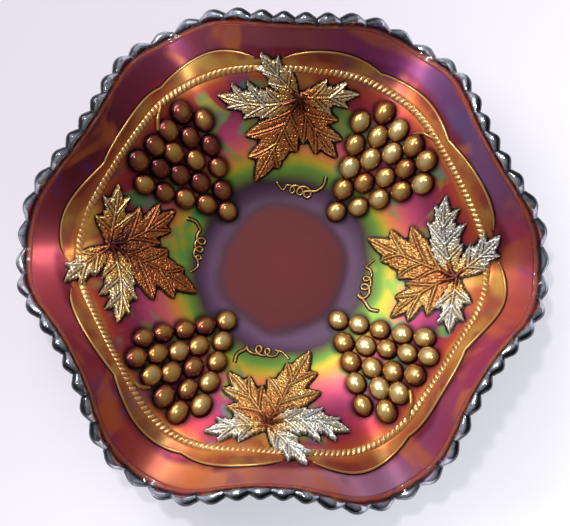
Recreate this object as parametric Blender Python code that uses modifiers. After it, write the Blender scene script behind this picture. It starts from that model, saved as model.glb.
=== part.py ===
"""Ruffled carnival glass bowl with a grape and leaf relief: the solids, in metres, +Z up.

Such a bowl is pressed in a mould and then ruffled while it is hot. The model is made in the same order.
Every feature is first modelled flat, on a disc: the distance from the centre is measured along the glass,
and the height is measured from the glass's inside face. Then press() bends it onto the ruffled wall.
"""
from math import atan2, cos, hypot, pi, radians, sin, sqrt

import bmesh
import bpy
import numpy as np
from mathutils import Matrix

# ---------------------------------------------------------------- driving dimensions
MM = 0.001
GAP = 0.3 * MM                      # clearance between neighbouring solids

FOOT_RADIUS = 35.0 * MM             # outside of the ring that the bowl stands on
FOOT_WIDTH = 4.0 * MM
FOOT_HEIGHT = 3.5 * MM              # from the table to the underside of the floor
FOOT_EDGE = 0.6 * MM                # bevel on both edges of the foot's face
FLOOR_THICKNESS = 4.0 * MM
RIM_THICKNESS = 3.4 * MM

FLOOR_RADIUS = 26.0 * MM            # flat part of the inside
FILLET_LENGTH = 10.0 * MM           # along the glass, from the flat to the full slope
WALL_SLOPE = 24.7                   # degrees, before the ruffling

GLASS_LENGTH = 113.2 * MM           # along the glass, from the centre to a bead's tip
RIM_DEPTH = 7.2 * MM                # along the glass, the width of the beaded rim
SCALLOP_DEPTH = 2.8 * MM
BEADS = 64

RUFFLES = 6
RUFFLE_ANGLE = -2.7                 # degrees, the middle of the first outward lobe
RUFFLE_START = 40.0 * MM            # along the glass, where the ruffling begins
RUFFLE_MID = 85.0 * MM
RUFFLE_SLOPE_MID = 15.0             # degrees added to and taken off the slope at RUFFLE_MID
RUFFLE_SLOPE_RIM = 28.0
RUFFLE_SHARPNESS = 0.15             # narrows the lobes and widens the dips between them

QUARTERS = 4                        # the relief repeats every quarter turn
BUNCH_ANGLE = 45.0
BUNCH_INSET = 7.0 * MM              # from the floor's edge to the middle of the nearest grape
BUNCH_ROOM = 8.3 * MM               # from the middle of the last row to the cable border
BUNCH_ROWS = (1, 2, 3, 4, 5, 4)     # grapes in each row, from the tip outwards
ROW_SPACE = 0.6 * MM                # between the rows, at the size of the grape at the tip
GRAPE_SPACE = 1.5 * MM              # between the grapes of a row, at that same size
GRAPE_GROWTH = 0.1 * MM             # larger in each row outwards
GRAPE_LAP = 0.01 * MM               # each grape is sunk this much less than the one before it
PAD_THICKNESS = 0.7 * MM            # the web of glass that the grapes of a bunch share

SPRAY_ANGLE = -4.0
SPRAY_INSET = 15.0 * MM             # from the place where the leaf stalks meet to the cable border
LEAF_THICKNESS = 1.1 * MM
LEAF_CROWN = 0.9 * MM               # how far the middle of a leaf stands above its edge
# each leaf: reach outwards, reach anticlockwise, greatest width
LEAVES = (
    (2.0 * MM, 33.5 * MM, 15.0 * MM),
    (-34.5 * MM, 19.0 * MM, 19.0 * MM),
    (20.0 * MM, 16.0 * MM, 11.0 * MM),
    (-24.0 * MM, -18.0 * MM, 18.0 * MM),
    (3.0 * MM, -26.0 * MM, 14.0 * MM),
)
LEAF_LAP = 0.11 * MM                # each leaf lies this much higher than the one before it
KNOT_RADIUS = 4.2 * MM              # where the stalks of a spray meet
KNOT_TOP_RADIUS = 2.4 * MM
KNOT_HEIGHT = 2.6 * MM
CROSSING_LEAF = 2                   # the leaf that lies across the cable border

CABLE_RADIUS = 87.0 * MM            # along the glass, the middle of the cable border
CABLE_WIDTH = 3.4 * MM
CABLE_HEIGHT = 1.3 * MM
VINE_SPACE = 5.6 * MM               # from the cable border to the vine, at the vine's nearest
VINE_SWING = 4.5 * MM
VINE_THICKNESS = 1.2 * MM
VINE_WAVES = 3
TENDRIL_SPACE = 8.0 * MM            # from the floor's edge to the middle of a tendril
TENDRIL_SWING = 2.4 * MM
TENDRIL_THICKNESS = 1.0 * MM
TENDRIL_START = 69.0
TENDRIL_END = 92.0

WALL_STEPS = 120
FOOT_STEPS = 48
BEAD_STEPS = 5
LEAF_TEETH = 3                      # on each side of a leaf
SMOOTH_ANGLE = radians(40)

# ---------------------------------------------------------------- sizes that follow
WALL_LENGTH = GLASS_LENGTH - RIM_DEPTH - GAP
FLOOR_HEIGHT = FOOT_HEIGHT + FLOOR_THICKNESS
FLAT_UP = GAP + 0.05 * MM           # the underside of the relief, above the inside face
BUNCH_TIP = FLOOR_RADIUS + BUNCH_INSET
BUNCH_END = CABLE_RADIUS - CABLE_WIDTH / 2 - BUNCH_ROOM
ROW_STEP = (BUNCH_END - BUNCH_TIP) / (len(BUNCH_ROWS) - 1)
GRAPE_RADIUS = (ROW_STEP - ROW_SPACE) / 2
GRAPE_PITCH = 2 * GRAPE_RADIUS + GRAPE_SPACE
SPRAY_RADIUS = CABLE_RADIUS - SPRAY_INSET
VINE_RADIUS = CABLE_RADIUS + VINE_SPACE
TENDRIL_RADIUS = FLOOR_RADIUS + TENDRIL_SPACE


# ---------------------------------------------------------------- the ruffled wall
def ease(value, low, high):
    """0 below low, 1 above high, and a smooth rise between them."""
    part = np.clip((value - low) / (high - low), 0, 1)
    return part * part * (3 - 2 * part)


def slope(length, angle):
    """The wall's slope in radians, at a length along the glass and an angle round the bowl."""
    turn = RUFFLES * (angle - radians(RUFFLE_ANGLE))
    wave = -np.cos(turn) + RUFFLE_SHARPNESS * (1 - np.cos(2 * turn))
    swing = RUFFLE_SLOPE_MID * ease(length, RUFFLE_START, RUFFLE_MID)
    near_rim = ease(length, RUFFLE_MID - 12 * MM, GLASS_LENGTH)
    swing = swing + (RUFFLE_SLOPE_RIM - RUFFLE_SLOPE_MID) * near_rim
    steady = WALL_SLOPE * ease(length, FLOOR_RADIUS, FLOOR_RADIUS + FILLET_LENGTH)
    return np.radians(steady + swing * wave)


def inside_face(length, angle, steps=96):
    """Points of the inside face: the slope is added up along the glass from the centre."""
    walk = (np.arange(steps) + 0.5) / steps
    tilt = slope(length[:, None] * walk[None, :], angle[:, None])
    radius = np.cos(tilt).mean(axis=1) * length
    height = np.sin(tilt).mean(axis=1) * length + FLOOR_HEIGHT
    return np.stack([radius * np.cos(angle), radius * np.sin(angle), height], axis=1)


def on_wall(points):
    """Bend flat points (x, y on the disc, z above the glass) onto the ruffled wall."""
    small = 0.05 * MM
    length = np.maximum(np.hypot(points[:, 0], points[:, 1]), 0.5 * MM)
    angle = np.arctan2(points[:, 1], points[:, 0])
    along = inside_face(length + small, angle) - inside_face(length - small, angle)
    turn = small / length
    across = inside_face(length, angle + turn) - inside_face(length, angle - turn)
    normal = np.cross(along, across)
    normal /= np.linalg.norm(normal, axis=1)[:, None]
    base = inside_face(np.hypot(points[:, 0], points[:, 1]), angle)
    return base + normal * points[:, 2:3]


def wall_thickness(length):
    """The glass thins from the floor to the rim."""
    return FLOOR_THICKNESS + (RIM_THICKNESS - FLOOR_THICKNESS) * float(ease(length, FOOT_RADIUS, WALL_LENGTH))


# ---------------------------------------------------------------- tools
def clear_scene():
    for thing in list(bpy.data.objects):
        bpy.data.objects.remove(thing, do_unlink=True)
    for mesh in list(bpy.data.meshes):
        bpy.data.meshes.remove(mesh)


def make_collection(name):
    collection = bpy.data.collections.new(name)
    bpy.context.scene.collection.children.link(collection)
    return collection


def glass(name, color, roughness, metallic):
    """A finish for one zone of the glass."""
    material = bpy.data.materials.new(name)
    material.use_nodes = True
    shader = material.node_tree.nodes["Principled BSDF"]
    shader.inputs["Base Color"].default_value = (*color, 1.0)
    shader.inputs["Roughness"].default_value = roughness
    shader.inputs["Metallic"].default_value = metallic
    material.diffuse_color = (*color, 1.0)
    return material


def add_object(name, data, collection):
    thing = bpy.data.objects.new(name, data)
    collection.objects.link(thing)
    return thing


def turned(name, profile, steps, closed=False):
    """A profile of (radius, height) points turned about Z. It runs down its outer side."""
    mesh = bpy.data.meshes.new(name)
    edges = [(i, i + 1) for i in range(len(profile) - 1)]
    if closed:
        edges.append((len(profile) - 1, 0))
    mesh.from_pydata([(radius, 0, height) for radius, height in profile], edges, [])
    thing = add_object(name, mesh, workshop)
    screw = thing.modifiers.new("turn", "SCREW")
    screw.angle = 2 * pi
    screw.steps = screw.render_steps = steps
    screw.use_merge_vertices = True
    screw.merge_threshold = 0.00001
    screw.use_normal_calculate = True
    return thing


def tube(name, points, thickness, sides):
    """A round rod through the points, with flat closed ends."""
    curve = bpy.data.curves.new(name, "CURVE")
    curve.dimensions = "3D"
    curve.bevel_depth = thickness / 2
    curve.bevel_resolution = sides
    curve.use_fill_caps = True
    spline = curve.splines.new("POLY")
    spline.points.add(len(points) - 1)
    for place, point in zip(spline.points, points):
        place.co = (*point, 1)
    return add_object(name, curve, workshop)


def evaluated_mesh(thing):
    bpy.context.view_layer.update()
    graph = bpy.context.evaluated_depsgraph_get()
    return bpy.data.meshes.new_from_object(thing.evaluated_get(graph))


def clean_mesh(thing):
    """The object's evaluated mesh, welded, in triangles and facing out."""
    mesh = evaluated_mesh(thing)
    body = bmesh.new()
    body.from_mesh(mesh)
    bmesh.ops.remove_doubles(body, verts=body.verts, dist=0.002 * MM)
    bmesh.ops.triangulate(body, faces=body.faces)
    bmesh.ops.recalc_face_normals(body, faces=body.faces)
    body.to_mesh(mesh)
    body.free()
    return mesh


def press(thing, name, material):
    """Bend a flat object onto the wall and hand it in under its own name."""
    mesh = clean_mesh(thing)
    flat = np.empty(len(mesh.vertices) * 3)
    mesh.vertices.foreach_get("co", flat)
    mesh.vertices.foreach_set("co", on_wall(flat.reshape(-1, 3)).ravel())
    return finish(mesh, name, material)


def finish(mesh, name, material):
    mesh.materials.clear()
    mesh.materials.append(material)
    mesh.shade_smooth()
    mesh.set_sharp_from_angle(angle=SMOOTH_ANGLE)
    mesh.name = name
    return add_object(name, mesh, bowl)


def on_disc(length, angle, height):
    """A point of the flat disc from its place along the glass and its angle in degrees."""
    return (length * cos(radians(angle)), length * sin(radians(angle)), height)


def join_all(base, others):
    """One solid from a base and the solids that grow out of it."""
    for other in others:
        union = base.modifiers.new("join", "BOOLEAN")
        union.operation = "UNION"
        union.solver = "EXACT"
        union.object = other
        other.hide_render = True
        other.display_type = "WIRE"
    return base


# ---------------------------------------------------------------- wall, foot and rim
def make_wall(material):
    """The plain glass: a flat floor, a fillet and the ruffled side, up to the beaded rim."""
    fillet = [FLOOR_RADIUS + FILLET_LENGTH * part for part in (-0.1, 0.3, 0.6, 1.1)]
    side = list(np.linspace(FLOOR_RADIUS + FILLET_LENGTH * 1.1, WALL_LENGTH, 9)[1:])
    inside = fillet + side
    outside = [FLOOR_RADIUS, FLOOR_RADIUS + FILLET_LENGTH * 0.5, FLOOR_RADIUS + FILLET_LENGTH * 1.1]
    outside += side[1::2]
    profile = [(0, 0)] + [(length, 0) for length in inside]
    profile += [(length, -wall_thickness(length)) for length in reversed(outside)]
    profile += [(0, -FLOOR_THICKNESS)]
    return press(turned("flat_wall", profile, WALL_STEPS), "bowl_wall", material)


def make_foot(material):
    """The ring that the bowl stands on. Its top follows the underside of the fillet."""
    def underside(radius):
        lengths = np.linspace(radius * 0.9, radius * 1.3, 60)
        flat = np.stack([lengths, 0 * lengths, [-wall_thickness(length) for length in lengths]], axis=1)
        wall = on_wall(flat)
        return float(np.interp(radius, wall[:, 0], wall[:, 2]))
    outer = FOOT_RADIUS
    inner = FOOT_RADIUS - FOOT_WIDTH
    edge = FOOT_EDGE
    top = [(radius, underside(radius) - GAP - 0.1 * MM) for radius in (inner, (inner + outer) / 2, outer)]
    profile = top + [(outer, edge), (outer - edge, 0), (inner + edge, 0), (inner, edge)]
    ring = turned("flat_foot", profile, FOOT_STEPS, closed=True)
    return finish(clean_mesh(ring), "collar_base", material)


def bead(angle):
    """1 at the middle of a bead and 0 in the notch between two beads."""
    return np.abs(np.cos(BEADS * angle / 2)) ** 0.7


def make_rim(material):
    """The rim: a ring with a row of round beads along its edge."""
    start = GLASS_LENGTH - RIM_DEPTH
    tip = GLASS_LENGTH
    thick = RIM_THICKNESS
    middle = -thick / 2
    profile = [
        (start, 0),
        (start + 0.35 * RIM_DEPTH, 0.1 * thick),
        (tip - 0.22 * RIM_DEPTH, 0.2 * thick),
        (tip, middle),
        (tip - 0.22 * RIM_DEPTH, -1.2 * thick),
        (start, -thick),
    ]
    ring = turned("flat_rim", profile, BEADS * BEAD_STEPS, closed=True)
    mesh = evaluated_mesh(ring)
    for vertex in mesh.vertices:
        x, y, z = vertex.co
        length = hypot(x, y)
        swell = float(bead(atan2(y, x)))
        share = (length - start) / RIM_DEPTH
        longer = length - share * SCALLOP_DEPTH * (1 - swell)
        higher = middle + (z - middle) * (1 - share * 0.35 * (1 - swell))
        vertex.co = (x * longer / length, y * longer / length, higher)
    beaded = add_object("flat_beads", mesh, workshop)
    return press(beaded, "beaded_rim", material)


# ---------------------------------------------------------------- relief
def make_pad(angle):
    """The web that joins the grapes of one bunch: a thin plate that widens with the rows."""
    body = bmesh.new()
    cells = 6
    bmesh.ops.create_grid(body, x_segments=cells, y_segments=cells, size=1)
    rows = len(BUNCH_ROWS) - 1
    widest = max(BUNCH_ROWS) - 1
    first = BUNCH_TIP - 0.5 * GRAPE_RADIUS
    last = BUNCH_TIP + ROW_STEP * rows + 0.5 * GRAPE_RADIUS
    for vertex in body.verts:
        part = (vertex.co.x + 1) / 2
        gaps = min(part * rows, 2 * widest - part * rows)
        half_width = gaps / 2 * GRAPE_PITCH + 0.4 * GRAPE_RADIUS
        out = first + (last - first) * part
        side = vertex.co.y * half_width
        vertex.co = (out, side, FLAT_UP)
    bmesh.ops.rotate(body, verts=body.verts, matrix=turn_matrix(angle), cent=(0, 0, 0))
    mesh = bpy.data.meshes.new("pad")
    body.to_mesh(mesh)
    body.free()
    pad = add_object("flat_pad", mesh, workshop)
    solid = pad.modifiers.new("thickness", "SOLIDIFY")
    solid.thickness = PAD_THICKNESS
    solid.offset = 1
    return pad


def turn_matrix(angle):
    return Matrix.Rotation(radians(angle), 3, "Z")


def make_grape(out, side, radius, angle, raise_by):
    """A half-round grape whose base is sunk into the web."""
    body = bmesh.new()
    bmesh.ops.create_uvsphere(body, u_segments=8, v_segments=6, radius=radius)
    level = FLAT_UP + 0.3 * PAD_THICKNESS + raise_by
    below = [vertex for vertex in body.verts if vertex.co.z < -0.1 * radius]
    bmesh.ops.delete(body, geom=below, context="VERTS")
    rim = [edge for edge in body.edges if edge.is_boundary]
    bmesh.ops.contextual_create(body, geom=rim)
    bmesh.ops.translate(body, verts=body.verts, vec=(out, side, level))
    bmesh.ops.rotate(body, verts=body.verts, matrix=turn_matrix(angle), cent=(0, 0, 0))
    bmesh.ops.recalc_face_normals(body, faces=body.faces)
    mesh = bpy.data.meshes.new("grape")
    body.to_mesh(mesh)
    body.free()
    return add_object("flat_grape", mesh, workshop)


def make_bunch(number, material):
    angle = BUNCH_ANGLE + 360 / QUARTERS * number
    grapes = []
    for row, count in enumerate(BUNCH_ROWS):
        for place in range(count):
            out = BUNCH_TIP + ROW_STEP * row
            side = (place - (count - 1) / 2) * GRAPE_PITCH
            radius = GRAPE_RADIUS + GRAPE_GROWTH * row
            grapes.append(make_grape(out, side, radius, angle, GRAPE_LAP * len(grapes)))
    pad = join_all(make_pad(angle), grapes)
    return press(pad, f"grape_bunch_{number + 1}", material)


def leaf_edge(width):
    """Half of a toothed leaf: (share of the length, half width) from the stalk to the tip."""
    points = [(0.0, 0.06 * width)]
    for tooth in range(LEAF_TEETH):
        share = (tooth + 0.9) / (LEAF_TEETH + 0.8)
        envelope = sqrt(max(0.0, 1 - abs(share - 0.36) ** 1.4 * 2.3))
        points.append((share - 0.10, 0.36 * width * envelope))
        points.append((share + 0.05, 0.50 * width * envelope))
    points.append((1.0, 0.0))
    return points


def make_leaf(origin, reach_out, reach_round, width, raise_by):
    """One leaf: a thin plate with a toothed edge and a crowned middle."""
    long = hypot(reach_out, reach_round)
    ahead = (reach_out / long, reach_round / long)
    left = (-ahead[1], ahead[0])
    body = bmesh.new()
    low = FLAT_UP + raise_by
    rows = []
    for share, half in leaf_edge(width):
        rib_share = max(0.0, share - 0.08 * (1 - share))
        crown_share = (share + rib_share) / 2
        stations = [(half, share, 0.0), (half * 0.5, crown_share, LEAF_CROWN), (0.0, rib_share, 0.5 * LEAF_CROWN)]
        stations += [(-half * 0.5, crown_share, LEAF_CROWN), (-half, share, 0.0)]
        row = []
        for offset, place, crown in stations:
            if half == 0 and offset == 0 and row:
                continue
            x = origin[0] + ahead[0] * place * long + left[0] * offset
            y = origin[1] + ahead[1] * place * long + left[1] * offset
            top = body.verts.new((x, y, low + LEAF_THICKNESS + crown))
            bottom = body.verts.new((x, y, low))
            row.append((top, bottom))
        rows.append(row)
    tip = rows[-1][0]
    for near, far in zip(rows, rows[1:]):
        if far is rows[-1]:
            far = [tip] * len(near)
        for index in range(len(near) - 1):
            for level, flip in ((0, False), (1, True)):
                corners = [row[place][level] for row, place in ((near, index), (near, index + 1))]
                corners += [row[place][level] for row, place in ((far, index + 1), (far, index))]
                corners = list(dict.fromkeys(corners))
                body.faces.new(reversed(corners) if flip else corners)
        for index in (0, len(near) - 1):
            corners = [near[index][0], near[index][1], far[index][1], far[index][0]]
            body.faces.new(corners if index == 0 else reversed(corners))
    back = rows[0]
    body.faces.new([point[0] for point in back] + [point[1] for point in reversed(back)])
    spare = [vertex for vertex in body.verts if not vertex.link_faces]
    bmesh.ops.delete(body, geom=spare, context="VERTS")
    bmesh.ops.triangulate(body, faces=body.faces)
    bmesh.ops.recalc_face_normals(body, faces=body.faces)
    mesh = bpy.data.meshes.new("leaf")
    body.to_mesh(mesh)
    body.free()
    return add_object("flat_leaf", mesh, workshop)


def make_spray(number, material):
    """Five leaves round a knot, where their stalks meet."""
    angle = SPRAY_ANGLE + 360 / QUARTERS * number
    base = on_disc(SPRAY_RADIUS, angle, 0)
    out = (cos(radians(angle)), sin(radians(angle)))
    leaves = []
    for order, (reach_out, reach_round, width) in enumerate(LEAVES):
        ahead = out[0] * reach_out - out[1] * reach_round
        aside = out[1] * reach_out + out[0] * reach_round
        leaves.append(make_leaf(base, ahead, aside, width, LEAF_LAP * order))
    body = bmesh.new()
    bmesh.ops.create_cone(
        body, cap_ends=True, segments=12, radius1=KNOT_RADIUS, radius2=KNOT_TOP_RADIUS, depth=KNOT_HEIGHT
    )
    middle = FLAT_UP + 0.5 * LEAF_LAP + 0.5 * KNOT_HEIGHT
    bmesh.ops.translate(body, verts=body.verts, vec=(base[0], base[1], middle))
    mesh = bpy.data.meshes.new("knot")
    body.to_mesh(mesh)
    body.free()
    knot = join_all(add_object("flat_knot", mesh, workshop), leaves)
    return press(knot, f"leaf_spray_{number + 1}", material)


def leaf_break():
    """Where the crossing leaf interrupts the border: its angle from the spray and its half width."""
    reach_out, reach_round, width = LEAVES[CROSSING_LEAF]
    share = (CABLE_RADIUS - SPRAY_RADIUS) / reach_out
    middle = reach_round * share / CABLE_RADIUS
    lean = hypot(reach_out, reach_round) / reach_out
    half = (0.5 * width * lean + 2 * GAP) / CABLE_RADIUS
    return middle * 180 / pi, half * 180 / pi


def make_cable(number, material):
    """A quarter of the cable border, from one crossing leaf to the next."""
    middle, half = leaf_break()
    start = SPRAY_ANGLE + 360 / QUARTERS * number + middle + half
    end = start + 360 / QUARTERS - 2 * half
    steps = 30
    body = bmesh.new()
    section = ((-0.5, 0.0), (-0.34, 1.0), (0.34, 1.0), (0.5, 0.0))
    rows = []
    for step in range(steps + 1):
        angle = start + (end - start) * step / steps
        row = []
        for across, up in section:
            place = on_disc(CABLE_RADIUS + across * CABLE_WIDTH, angle, FLAT_UP + up * CABLE_HEIGHT)
            row.append(body.verts.new(place))
        rows.append(row)
    for near, far in zip(rows, rows[1:]):
        for index in range(4):
            after = (index + 1) % 4
            body.faces.new((near[index], near[after], far[after], far[index]))
    body.faces.new(rows[0])
    body.faces.new(rows[-1])
    bmesh.ops.recalc_face_normals(body, faces=body.faces)
    mesh = bpy.data.meshes.new("cable")
    body.to_mesh(mesh)
    body.free()
    return press(add_object("flat_cable", mesh, workshop), f"cable_border_{number + 1}", material)


def make_vine(number, material):
    """A thin raised vine that runs in arches outside the cable border."""
    middle, half = leaf_break()
    start = SPRAY_ANGLE + 360 / QUARTERS * number + middle + 1.6 * half
    end = start + 360 / QUARTERS - 3.2 * half
    steps = 30
    points = []
    for step in range(steps + 1):
        part = step / steps
        angle = start + (end - start) * part
        swing = VINE_SWING * abs(sin(pi * VINE_WAVES * part))
        points.append(on_disc(VINE_RADIUS + swing, angle, FLAT_UP + VINE_THICKNESS / 2))
    return press(tube("flat_vine", points, VINE_THICKNESS, 0), f"outer_vine_{number + 1}", material)


def make_tendril(number, material):
    """A curling tendril beside the floor, between a leaf spray and a bunch."""
    turn = 360 / QUARTERS * number
    steps = 24
    points = []
    for step in range(steps + 1):
        part = step / steps
        angle = turn + TENDRIL_START + (TENDRIL_END - TENDRIL_START) * part
        swing = TENDRIL_SWING * sin(2 * pi * 3 * part) * (1 - 0.5 * part)
        points.append(on_disc(TENDRIL_RADIUS + swing, angle, FLAT_UP + TENDRIL_THICKNESS / 2))
    return press(tube("flat_tendril", points, TENDRIL_THICKNESS, 0), f"tendril_{number + 1}", material)


# ---------------------------------------------------------------- the bowl
clear_scene()
bowl = make_collection("carnival_glass_bowl")
workshop = make_collection("flat_patterns")

iridised = glass("iridised_glass", (0.30, 0.08, 0.10), 0.25, 0.6)
amethyst = glass("amethyst_glass", (0.05, 0.02, 0.05), 0.15, 0.0)
silvered = glass("bead_glass", (0.20, 0.22, 0.30), 0.20, 0.5)
gold = glass("gold_relief", (0.45, 0.30, 0.12), 0.30, 0.6)

make_wall(iridised)
make_foot(amethyst)
make_rim(silvered)
for quarter in range(QUARTERS):
    make_bunch(quarter, gold)
    make_spray(quarter, gold)
    make_cable(quarter, gold)
    make_vine(quarter, gold)
    make_tendril(quarter, gold)

for leftover in list(workshop.objects):
    bpy.data.objects.remove(leftover, do_unlink=True)
bpy.data.collections.remove(workshop)
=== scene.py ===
"""Looks of a ruffled carnival glass bowl with a grape and leaf relief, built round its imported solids.

Every visible surface but the foot is modelled flat, on a disc. The distance from the centre is measured along
the glass, and the height from the glass's inside face. bend() then carries it onto the ruffled wall, as the
solids were made.
"""
from math import cos, pi, radians, sin, sqrt

import bmesh
import bpy
import numpy as np
from mathutils import Matrix, Vector, noise


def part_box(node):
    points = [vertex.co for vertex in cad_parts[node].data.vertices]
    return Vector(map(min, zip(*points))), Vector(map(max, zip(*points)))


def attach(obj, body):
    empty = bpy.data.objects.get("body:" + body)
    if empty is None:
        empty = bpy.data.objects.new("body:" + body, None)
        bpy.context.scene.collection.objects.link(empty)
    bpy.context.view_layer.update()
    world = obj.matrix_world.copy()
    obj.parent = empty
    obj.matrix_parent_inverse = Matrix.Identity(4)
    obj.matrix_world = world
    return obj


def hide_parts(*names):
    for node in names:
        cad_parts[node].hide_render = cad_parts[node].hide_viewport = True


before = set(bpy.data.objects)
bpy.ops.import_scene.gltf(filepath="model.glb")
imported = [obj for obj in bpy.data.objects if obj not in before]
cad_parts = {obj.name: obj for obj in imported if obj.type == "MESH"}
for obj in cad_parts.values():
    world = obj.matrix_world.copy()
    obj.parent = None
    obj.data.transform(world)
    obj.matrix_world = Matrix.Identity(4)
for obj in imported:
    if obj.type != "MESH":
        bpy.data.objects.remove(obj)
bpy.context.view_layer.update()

# ---------------------------------------------------------------- sizes shared with the solids
MM = 0.001
FOOT_RADIUS = 35.0 * MM
FOOT_WIDTH = 4.0 * MM
FOOT_HEIGHT = 3.5 * MM
FLOOR_THICKNESS = 4.0 * MM
RIM_THICKNESS = 3.4 * MM
FLOOR_RADIUS = 26.0 * MM
FILLET_LENGTH = 10.0 * MM
WALL_SLOPE = 24.7
GLASS_LENGTH = 113.2 * MM
RIM_DEPTH = 7.2 * MM
BEADS = 64
RUFFLES = 6
RUFFLE_ANGLE = -2.7
RUFFLE_START = 40.0 * MM
RUFFLE_MID = 85.0 * MM
RUFFLE_SLOPE_MID = 15.0
RUFFLE_SLOPE_RIM = 28.0
RUFFLE_SHARPNESS = 0.15
QUARTERS = 4
BUNCH_ANGLE = 45.0
BUNCH_TIP = 33.0 * MM
BUNCH_ROWS = (1, 2, 3, 4, 5, 4)
ROW_STEP = 8.8 * MM
GRAPE_PITCH = 9.7 * MM
SPRAY_ANGLE = -4.0
SPRAY_RADIUS = 72.0 * MM
CABLE_RADIUS = 87.0 * MM
CABLE_WIDTH = 3.4 * MM
FLOOR_HEIGHT = FOOT_HEIGHT + FLOOR_THICKNESS

# ---------------------------------------------------------------- sizes of the visible surface alone
QUARTER = 360 / QUARTERS            # degrees
SUNK = 0.8 * MM                     # how deep the relief's undersides are buried in the glass
WELD = 0.003 * MM                   # vertices closer than this are one
BEAD_NOTCH = 3.4 * MM
BEAD_STEPS = 16                     # columns of faces in a bead
BEAD_SWELL = 0.9 * MM               # how far a bead stands out past each face of the glass
GRAPE_RADIUS = 4.4 * MM
GRAPE_GROWTH = 0.08 * MM            # larger in each row outwards
GRAPE_RISE = 0.86                   # height over radius
GRAPE_STRETCH = 1.14                # longer outwards than across
GRAPE_SHADOW = 1.7 * MM             # how far the painted shade round a grape reaches
BUNCH_TONES = (0.66, 0.38, 0.54, 0.70)   # how gold each bunch is, partly its own colour and partly painted light: darkest and most purple in the upper left, where shade falls
SPRAY_TONES = (0.0, -0.14, -0.22, 0.02)  # added to how pale each spray is
CABLE_HEIGHT = 1.2 * MM
CABLE_RIBS = 240
RIB_STEPS = 9                       # columns of faces in a rib
STRIP_START = 88.2 * MM             # along the glass, the inner edge of the raised strip by the border
STRIP_HEIGHT = 0.45 * MM
VINE_RADIUS = 91.8 * MM             # along the glass, where the vine lies nearest
VINE_SWING = 4.8 * MM
VINE_INSET = 1.5                    # degrees from the border's end to the vine's
VINE_ROUND = 0.52 * MM              # radius of its section
CURL_RADIUS = 33.6 * MM             # along the glass, the middle of a curl's loops
CURL_SHIFTS = (0.0, 3.0 * MM, 4.0 * MM, 3.0 * MM)   # how far out each curl is moved
WALL_COLUMNS = 720
FOOT_STEPS = 180
FOOT_EDGE = 0.7 * MM

# ---------------------------------------------------------------- the ruffled wall
PERIOD = 2 * pi / RUFFLES
TABLE_ROWS = 500
TABLE_COLUMNS = 240


def ease(value, low, high):
    """0 below low, 1 above high, and a smooth rise between them."""
    part = np.clip((value - low) / (high - low), 0, 1)
    return part * part * (3 - 2 * part)


def slope(length, angle):
    """The wall's slope in radians, at a length along the glass and an angle round the bowl."""
    turn = RUFFLES * (angle - radians(RUFFLE_ANGLE))
    wave = -np.cos(turn) + RUFFLE_SHARPNESS * (1 - np.cos(2 * turn))
    swing = RUFFLE_SLOPE_MID * ease(length, RUFFLE_START, RUFFLE_MID)
    near_rim = ease(length, RUFFLE_MID - 12 * MM, GLASS_LENGTH)
    swing = swing + (RUFFLE_SLOPE_RIM - RUFFLE_SLOPE_MID) * near_rim
    steady = WALL_SLOPE * ease(length, FLOOR_RADIUS, FLOOR_RADIUS + FILLET_LENGTH)
    return np.radians(steady + swing * wave)


def wall_table():
    length = np.linspace(0, GLASS_LENGTH * 1.02, TABLE_ROWS)
    angle = np.linspace(0, PERIOD, TABLE_COLUMNS, endpoint=False)
    tilt = slope(length[:, None], angle[None, :])
    step = length[1]

    def add_up(rate):
        total = np.cumsum((rate[1:] + rate[:-1]) / 2 * step, axis=0)
        return np.concatenate([np.zeros((1, TABLE_COLUMNS)), total])

    radius = add_up(np.cos(tilt))
    height = add_up(np.sin(tilt)) + FLOOR_HEIGHT
    turn = angle[1]
    radius_rate = (np.roll(radius, -1, 1) - np.roll(radius, 1, 1)) / (2 * turn)
    height_rate = (np.roll(height, -1, 1) - np.roll(height, 1, 1)) / (2 * turn)
    near = np.maximum(radius, 1e-6)
    across = np.sin(tilt) * radius_rate - np.cos(tilt) * height_rate
    normal = np.stack([-np.sin(tilt) * near, across, np.cos(tilt) * near], axis=-1)
    normal /= np.linalg.norm(normal, axis=-1)[..., None]
    return np.concatenate([radius[..., None], height[..., None], normal], axis=-1), step, turn


WALL, WALL_STEP, WALL_TURN = wall_table()


def bend(points):
    """Carry flat points (x, y on the disc, z above the glass) onto the ruffled wall."""
    points = np.asarray(points, float).reshape(-1, 3)
    length = np.hypot(points[:, 0], points[:, 1])
    angle = np.arctan2(points[:, 1], points[:, 0])
    row = length / WALL_STEP
    column = (angle % PERIOD) / WALL_TURN
    low_row = np.clip(np.floor(row).astype(int), 0, TABLE_ROWS - 2)
    low_column = np.floor(column).astype(int) % TABLE_COLUMNS
    next_column = (low_column + 1) % TABLE_COLUMNS
    up = (row - low_row)[:, None]
    along = (column - np.floor(column))[:, None]
    near = WALL[low_row, low_column] * (1 - along) + WALL[low_row, next_column] * along
    far = WALL[low_row + 1, low_column] * (1 - along) + WALL[low_row + 1, next_column] * along
    found = near * (1 - up) + far * up
    out = np.stack([np.cos(angle), np.sin(angle), 0 * angle], axis=1)
    side = np.stack([-np.sin(angle), np.cos(angle), 0 * angle], axis=1)
    normal = out * found[:, 2:3] + side * found[:, 3:4]
    normal[:, 2] += found[:, 4]
    base = out * found[:, 0:1]
    base[:, 2] = found[:, 1]
    return base + normal * points[:, 2:3]


def wall_thickness(length):
    thinning = ease(length, FOOT_RADIUS, GLASS_LENGTH - RIM_DEPTH)
    return FLOOR_THICKNESS + (RIM_THICKNESS - FLOOR_THICKNESS) * thinning


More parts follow.
